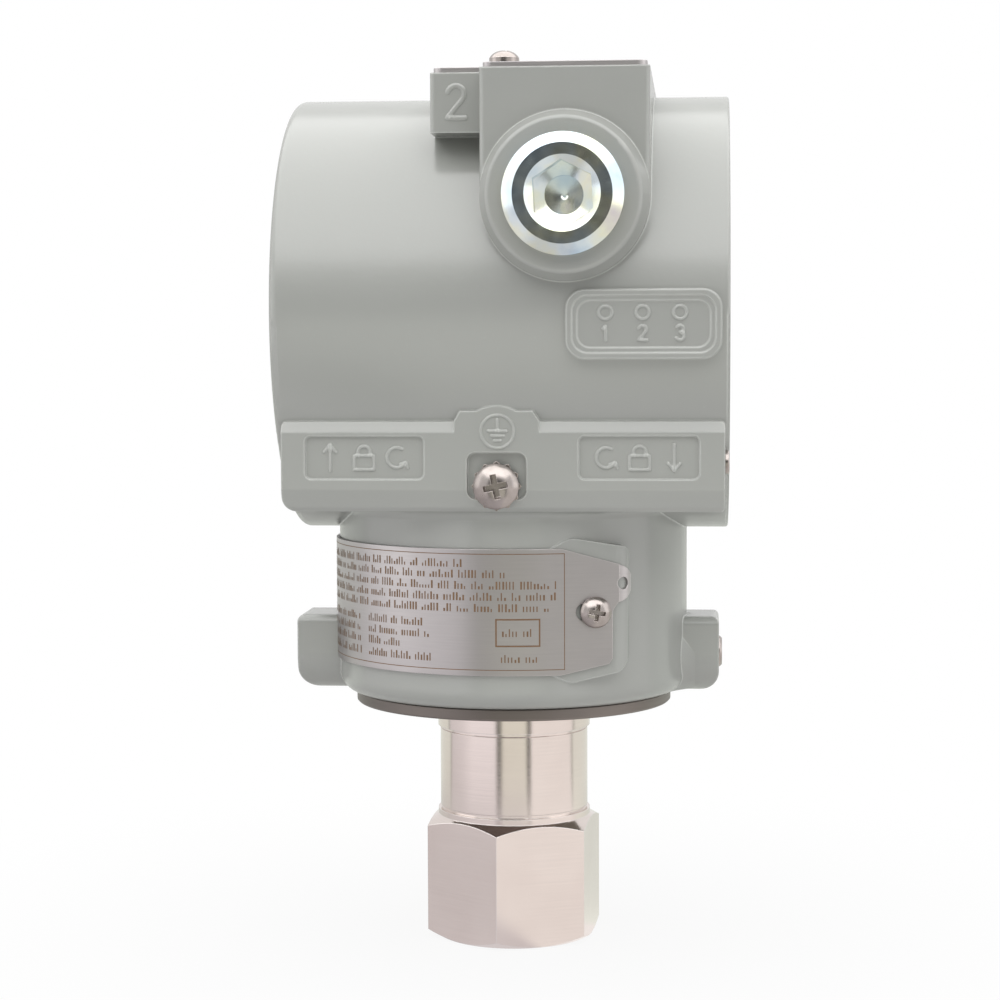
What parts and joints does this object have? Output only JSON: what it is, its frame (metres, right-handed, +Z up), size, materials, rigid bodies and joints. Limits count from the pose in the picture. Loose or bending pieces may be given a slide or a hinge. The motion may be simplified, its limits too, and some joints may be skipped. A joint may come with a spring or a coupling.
{
  "type": "pressure transmitter",
  "caption": "Field pressure transmitter: painted two-compartment housing with screwed end covers, swivelling on a stainless sensor neck with a hexagonal threaded process port.",
  "frame": {"origin": "centre of the hexagon's bottom face, where the process connection stands", "axes": "+Z up the neck, +X along the barrel towards the terminal cover, -Y the visible front with the plugged conduit entry and the name plate"},
  "size_m": [0.0809, 0.0925, 0.1625],
  "materials": {
    "painted_casting": "semi-gloss baked paint",
    "turned_stainless": "fine turned",
    "sensor_stainless": "matt",
    "diaphragm_steel": "bright foil",
    "plate_stainless": "fine brushed sheet",
    "screw_stainless": "bright",
    "zinc_plate": "blue passivated zinc",
    "seal_rubber": "moulded",
    "moulded_plastic": "glass-filled moulding",
    "circuit_board": "solder mask",
    "seal_glass": "fused glass",
    "plated_brass": "nickel plated",
    "button_steel": "turned"
  },
  "bodies": {
    "process_side": {"process_adapter": "turned_stainless", "isolating_diaphragm": "diaphragm_steel", "sensor_body": "sensor_stainless", "sensor_capsule": "turned_stainless", "capsule_pins": "plated_brass", "sensor_board": "circuit_board", "neck_seal_ring": "seal_rubber"},
    "housing": {"housing": "painted_casting", "conduit_plug": "zinc_plate", "ground_screw": "screw_stainless", "ground_washer": "screw_stainless", "name_plate": "plate_stainless", "name_plate_screws": "screw_stainless", "housing_set_screws": "screw_stainless", "cover_lock_screws": "screw_stainless", "swing_plate_screws": "screw_stainless", "terminal_block": "moulded_plastic", "terminal_clamps": "plated_brass", "terminal_screws": "screw_stainless", "inner_ground_screw": "screw_stainless", "partition_seal": "seal_glass", "partition_pins": "plated_brass", "electronics_module": "moulded_plastic", "board_spacers": "plated_brass", "amplifier_board": "circuit_board", "board_screws": "screw_stainless", "adjust_switches": "moulded_plastic", "zero_button_spring": "button_steel", "span_button_spring": "button_steel"},
    "swing_plate": {"swing_plate": "plate_stainless"},
    "terminal_cover_ring": {"terminal_cover_ring": "seal_rubber"},
    "terminal_cover": {"terminal_cover": "painted_casting"},
    "electronics_cover_ring": {"electronics_cover_ring": "seal_rubber"},
    "electronics_cover": {"electronics_cover": "painted_casting"},
    "zero_button": {"zero_button": "button_steel", "zero_button_clip": "screw_stainless"},
    "span_button": {"span_button": "button_steel", "span_button_clip": "screw_stainless"}
  },
  "joints": [
    {"name": "housing_swivel", "type": "hinge", "parent": "process_side", "child": "housing", "pos_m": [0, 0, 0.0473], "axis": [0, 0, 1], "range_deg": [-90, 90]},
    {"name": "terminal_cover_travel", "type": "slide", "parent": "housing", "child": "terminal_cover_ring", "axis": [1, 0, 0], "range_m": [0, 0.0101]},
    {"name": "terminal_cover_turn", "type": "hinge", "parent": "terminal_cover_ring", "child": "terminal_cover", "pos_m": [0.0405, 0, 0.1178], "axis": [1, 0, 0], "range_deg": [0, 1800]},
    {"name": "electronics_cover_travel", "type": "slide", "parent": "housing", "child": "electronics_cover_ring", "axis": [-1, 0, 0], "range_m": [0, 0.0101]},
    {"name": "electronics_cover_turn", "type": "hinge", "parent": "electronics_cover_ring", "child": "electronics_cover", "pos_m": [-0.0395, 0, 0.1178], "axis": [-1, 0, 0], "range_deg": [0, 1800]},
    {"name": "swing_plate_turn", "type": "hinge", "parent": "housing", "child": "swing_plate", "pos_m": [0.0016, -0.0365, 0.1599], "axis": [0, 0, -1], "range_deg": [0, 120]},
    {"name": "zero_press", "type": "slide", "parent": "housing", "child": "zero_button", "axis": [0, 0, -1], "range_m": [0, 0.002], "stiffness_N_per_m": 400, "springref_m": -0.001, "deforming": ["zero_button_spring"]},
    {"name": "span_press", "type": "slide", "parent": "housing", "child": "span_button", "axis": [0, 0, -1], "range_m": [0, 0.002], "stiffness_N_per_m": 400, "springref_m": -0.001, "deforming": ["span_button_spring"]}
  ],
  "couplings": [
    {"joint": "terminal_cover_travel", "follows": "terminal_cover_turn", "m_per_rad": 0.00031831},
    {"joint": "electronics_cover_travel", "follows": "electronics_cover_turn", "m_per_rad": 0.00031831}
  ]
}
